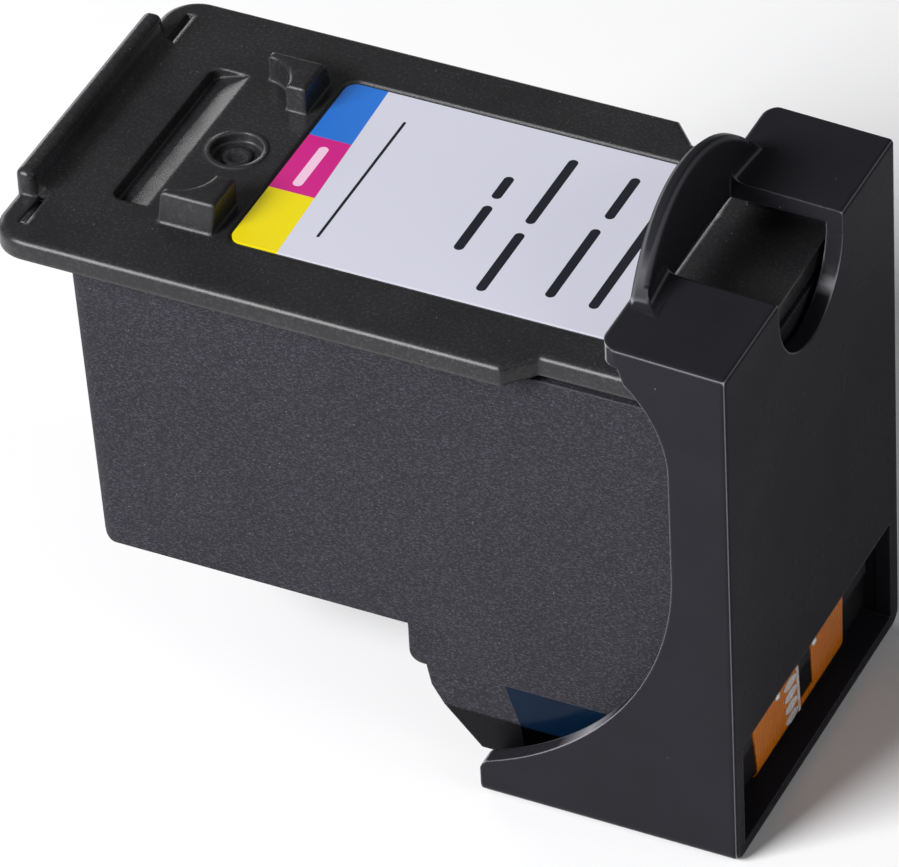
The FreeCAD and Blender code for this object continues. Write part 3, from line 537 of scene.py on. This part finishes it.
BAR_NAVY = (0.006, 0.007, 0.014, 1)
BAR_PALE = (0.85, 0.55, 0.72, 1)
BAR_HALF_WIDTH = 0.00042
THIN_HALF_WIDTH = 0.00013
DARK_BARS = [(0.0172, 0.0079, 0.0015), (0.0172, 0.0134, 0.0030), (0.0210, 0.0069, 0.0044),
             (0.0210, 0.0165, 0.0039), (0.0265, 0.0056, 0.0028), (0.0263, 0.0145, 0.0046),
             (0.0300, 0.0101, 0.0090)]
THIN_LINE = (0.0064, 0.0111, 0.0080)
BAND_BAR = (0.00195, 0.01115, 0.0027)


def print_bar_group():
    """Mask of a bar with rounded ends that runs along Y."""
    group, given, result = new_group(
        "print_bar",
        [("X", "Float", 0), ("Y", "Float", 0), ("Half Length", "Float", 0.004),
         ("Half Width", "Float", 0.0008)],
        [("Mask", "Float")])
    axes = own_axes(group)
    across = worked_out(group, "SUBTRACT", axes["X"], given["X"])
    along = worked_out(group, "ABSOLUTE", worked_out(group, "SUBTRACT", axes["Y"], given["Y"]))
    core = worked_out(group, "SUBTRACT", given["Half Length"], given["Half Width"])
    past_core = worked_out(group, "MAXIMUM", worked_out(group, "SUBTRACT", along, core), 0)
    offset = add(group, "CombineXYZ", inputs={"X": across, "Y": past_core})
    away = add(group, "VectorMath", {"operation": "LENGTH"}, {0: offset.outputs["Vector"]})
    give(group, result["Mask"], worked_out(group, "LESS_THAN", away.outputs["Value"], given["Half Width"]))
    return group


def past_border(tree, source, border):
    """Mask of what lies past a printed border."""
    return ranged(tree, source, (border - PRINT_BLUR, border + PRINT_BLUR))


def label_material():
    """Printed film: the bands, the pale field and its bars, under a clear coat that ripples a little."""
    low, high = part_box("label")
    material, tree, shader = new_material("label_film")
    axes = own_axes(tree)
    band = BAND_COLOURS[0]
    for number, colour in enumerate(BAND_COLOURS[1:], 1):
        band = blended(tree, past_border(tree, axes["Y"], low[1] + BAND_WIDTH * number), band, colour)
    skewed = worked_out(tree, "MULTIPLY_ADD", axes["Y"], BAND_SKEW, axes["X"])
    print_colour = blended(tree, past_border(tree, skewed, low[0] + BAND_LENGTH), band, LABEL_PAPER)
    bars = [(bar, BAR_HALF_WIDTH, BAR_NAVY) for bar in DARK_BARS]
    bars += [(THIN_LINE, THIN_HALF_WIDTH, BAR_NAVY), (BAND_BAR, BAR_HALF_WIDTH, BAR_PALE)]
    for (x, y, half_length), half_width, ink in bars:
        bar = placed(tree, print_bar, {
            "X": low[0] + x, "Y": high[1] - y, "Half Length": half_length, "Half Width": half_width})
        print_colour = blended(tree, bar["Mask"], print_colour, ink)
    ripple = add(tree, "TexNoise", inputs={"Vector": own_place(tree), "Scale": RIPPLE_SCALE, "Detail": 2})
    give(tree, shader.inputs["Base Color"], print_colour)
    give(tree, shader.inputs["Roughness"], ranged(tree, ripple.outputs["Fac"], WIDE_SPAN, (0.3, 0.4)))
    give(tree, shader.inputs["Normal"], relief(tree, ripple.outputs["Fac"], RIPPLE_DEPTH, RIPPLE_STRENGTH))
    shader.inputs["Coat Weight"].default_value = LABEL_COAT
    shader.inputs["Coat Roughness"].default_value = 0.12
    return material


print_bar = print_bar_group()
dress("label", label_material())


# Flex circuit. An orange polyimide film with copper traces under it, folded from the front of the
# nose to the head, with bare plated pads for the printer's contacts and small plated dots below.

FLEX_ORANGE = (0.66, 0.18, 0.002, 1)
FLEX_TRACE = (0.52, 0.13, 0.002, 1)
FLEX_GLOSS = 0.25
FLEX_COAT = 0.15
TRACE_PITCH = 0.00045
TRACE_SPAN = (TRACE_PITCH * 0.22, TRACE_PITCH * 0.28)
TRACE_DEPTH = 0.00002
TRACE_STRENGTH = 0.4
FILM_DRIFT_SCALE = 500
PAD_METAL = (0.86, 0.86, 0.84, 1)


def flex_material():
    """Orange film over close parallel traces that run up the front."""
    material, tree, shader = new_material("flex_film")
    step = worked_out(tree, "PINGPONG", own_axes(tree)["Y"], TRACE_PITCH / 2)
    trace = ranged(tree, step, TRACE_SPAN)
    drift = add(tree, "TexNoise", inputs={"Vector": own_place(tree), "Scale": FILM_DRIFT_SCALE, "Detail": 3})
    give(tree, shader.inputs["Base Color"], blended(tree, trace, FLEX_ORANGE, FLEX_TRACE))
    give(tree, shader.inputs["Roughness"], ranged(tree, drift.outputs["Fac"], WIDE_SPAN, (0.2, 0.32)))
    give(tree, shader.inputs["Normal"], relief(tree, trace, TRACE_DEPTH, TRACE_STRENGTH))
    shader.inputs["Specular IOR Level"].default_value = FLEX_GLOSS
    shader.inputs["Coat Weight"].default_value = FLEX_COAT
    shader.inputs["Coat Roughness"].default_value = 0.1
    return material


dress("flex_circuit", flex_material())
pad_metal = fine_surface("pad_metal", (shade(PAD_METAL, 0.85), PAD_METAL), grain_scale=1500,
                         grain_depth=0.000003, roughness=(0.16, 0.3), metallic=0.35)
dress("contact_pads", pad_metal)
dress("test_pads", pad_metal)

# The dots' profile goes from inside the film over the dome, as radii and heights over the pads.

DOT_PLACES = (-0.0041, 0.0032)
DOT_HEIGHT = 0.00738
DOT_SIDES = 24
DOT_PROFILE = [(0.0004, -0.00008), (0.0004, -0.00002), (0.00036, 0.00004), (0.00026, 0.00009),
               (0.00013, 0.00012), (0.00004, 0.000125)]


def plated_dots():
    """Small plated domes on the film, just under the lowest pads."""
    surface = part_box("contact_pads")[1][0]
    for number, place in enumerate(DOT_PLACES, 1):
        rings = [[(surface + height, place + y, DOT_HEIGHT + z) for y, z in circle(radius, DOT_SIDES)]
                 for radius, height in DOT_PROFILE]
        smooth_piece(f"plated_dot_{number}", rings, pad_metal)


plated_dots()


# Nozzle tape. A smooth dark blue film stuck over the nozzles to keep them wet, with its tail folded
# up the near side of the nose. Over the nose's tip it is painted nearly black: painted shade.

TAPE_NAVY = (0.001, 0.005, 0.016, 1)
TAPE_LIGHT = (0.002, 0.01, 0.026, 1)
TAPE_TIP_SHADE_SHARE = 0.9

tape_film = fine_surface("tape_film", (TAPE_NAVY, TAPE_LIGHT), grain_scale=140, grain_depth=0.00004,
                         roughness=(0.14, 0.2), gloss=0.09)
paint_tip_shade(tape_film, TAPE_TIP_SHADE_SHARE)
dress("nozzle_tape", tape_film)


# Transport clip. A smooth satin black moulding that slides over the nose: two cheeks, an end wall
# with a window, a floor, and a top plate with a thumb tab and a finger hole. Its corners carry thin
# light lines of painted highlight, weaker on the tab.

CLIP_BLACK = (0.0185, 0.0185, 0.0225, 1)
CLIP_SPECKLE = (0.0215, 0.0215, 0.026, 1)
CLIP_BEVEL = 0.0004
# Light grey of the painted highlights on the clip's corners, and their share on the tab.
CORNER_HIGHLIGHT_GREY = (0.24, 0.24, 0.26, 1)
CORNER_START = 0.2
CORNER_FULL = 0.29
TAB_FOOT = 0.0499
TAB_FADE = 0.0003
TAB_HIGHLIGHT_SHARE = 0.25


def corner_highlight_group():
    """Mask of corners: places whose rounded normal lies well between two axes."""
    group, given, result = new_group("corner_highlight", [("Radius", "Float", 0.0003)], [("Mask", "Float")])
    bevel = add(group, "Bevel", {"samples": BEVEL_SAMPLES}, {"Radius": given["Radius"]})
    size = add(group, "VectorMath", {"operation": "ABSOLUTE"}, {0: bevel.outputs["Normal"]})
    axes = add(group, "SeparateXYZ", inputs={"Vector": size.outputs["Vector"]}).outputs
    widest = worked_out(group, "MAXIMUM", worked_out(group, "MAXIMUM", axes["X"], axes["Y"]), axes["Z"])
    turn = worked_out(group, "SUBTRACT", 1, widest)
    give(group, result["Mask"], ranged(group, turn, (CORNER_START, CORNER_FULL)))
    return group


def paint_corner_highlights(material):
    """Paints highlights on the corners of a finish as light lines, weaker on the tab."""
    tree, shader = shader_of(material)
    corner = placed(tree, corner_highlight, {"Radius": CLIP_BEVEL})["Mask"]
    share = ranged(tree, own_axes(tree)["Z"], (TAB_FOOT, TAB_FOOT + TAB_FADE), (1, TAB_HIGHLIGHT_SHARE))
    finish = shader.inputs["Base Color"].links[0].from_socket
    highlight_mask = worked_out(tree, "MULTIPLY", corner, share)
    give(tree, shader.inputs["Base Color"], blended(tree, highlight_mask, finish, CORNER_HIGHLIGHT_GREY))


corner_highlight = corner_highlight_group()
clip_plastic = moulded_plastic(
    "clip_plastic", base=CLIP_BLACK, speck=CLIP_SPECKLE, speck_level=0.6, grain_scale=2600,
    grain_depth=0.000003, roughness=(0.24, 0.32), bevel=CLIP_BEVEL, edge_wear_and_highlight=0, dust_share=0.01, drift=0.15,
    gloss=0.02)
paint_corner_highlights(clip_plastic)
dress("transport_clip", clip_plastic)


# Floor and light. A white floor under large soft boxes: the key on the left lights the near side
# and the floor, and leaves the floor beyond the end wall in shade.

FLOOR_WHITE = (0.93, 0.93, 0.94, 1)
FLOOR_HALF = 3.0
FLOOR_ROUGHNESS = 0.9
SKY_STRENGTH = 0.15
LIGHT_AIM = Vector((0, 0, 0.02))


def floor_plane():
    """A wide level square under the part."""
    corners = [(-FLOOR_HALF, -FLOOR_HALF, 0), (FLOOR_HALF, -FLOOR_HALF, 0), (FLOOR_HALF, FLOOR_HALF, 0),
               (-FLOOR_HALF, FLOOR_HALF, 0)]
    mesh = bpy.data.meshes.new("floor")
    mesh.from_pydata(corners, [], [(0, 1, 2, 3)])
    floor = bpy.data.objects.new("floor", mesh)
    bpy.context.collection.objects.link(floor)
    material, tree, shader = new_material("floor_white")
    shader.inputs["Base Color"].default_value = FLOOR_WHITE
    shader.inputs["Roughness"].default_value = FLOOR_ROUGHNESS
    mesh.materials.append(material)


def soft_box(name, place, width, height, watts):
    """A rectangular lamp that faces the part."""
    data = bpy.data.lights.new(name, "AREA")
    data.shape = "RECTANGLE"
    data.size = width
    data.size_y = height
    data.energy = watts
    lamp = bpy.data.objects.new(name, data)
    bpy.context.collection.objects.link(lamp)
    lamp.location = place
    lamp.rotation_euler = (LIGHT_AIM - Vector(place)).to_track_quat("-Z", "Y").to_euler()


def white_sky():
    """A faint even light from all round."""
    world = bpy.data.worlds.new("studio")
    world.use_nodes = True
    background = world.node_tree.nodes["Background"]
    background.inputs["Color"].default_value = (1, 1, 1, 1)
    background.inputs["Strength"].default_value = SKY_STRENGTH
    bpy.context.scene.world = world


floor_plane()
white_sky()
soft_box("key", (-0.52, -0.88, 0.66), width=0.6, height=0.5, watts=25)
soft_box("back", (-0.9, 0.72, 0.22), width=0.7, height=0.35, watts=3.2)
soft_box("fill", (0.9, -0.1, 0.55), width=0.5, height=0.4, watts=1.3)
bpy.context.scene.view_settings.view_transform = "Standard"
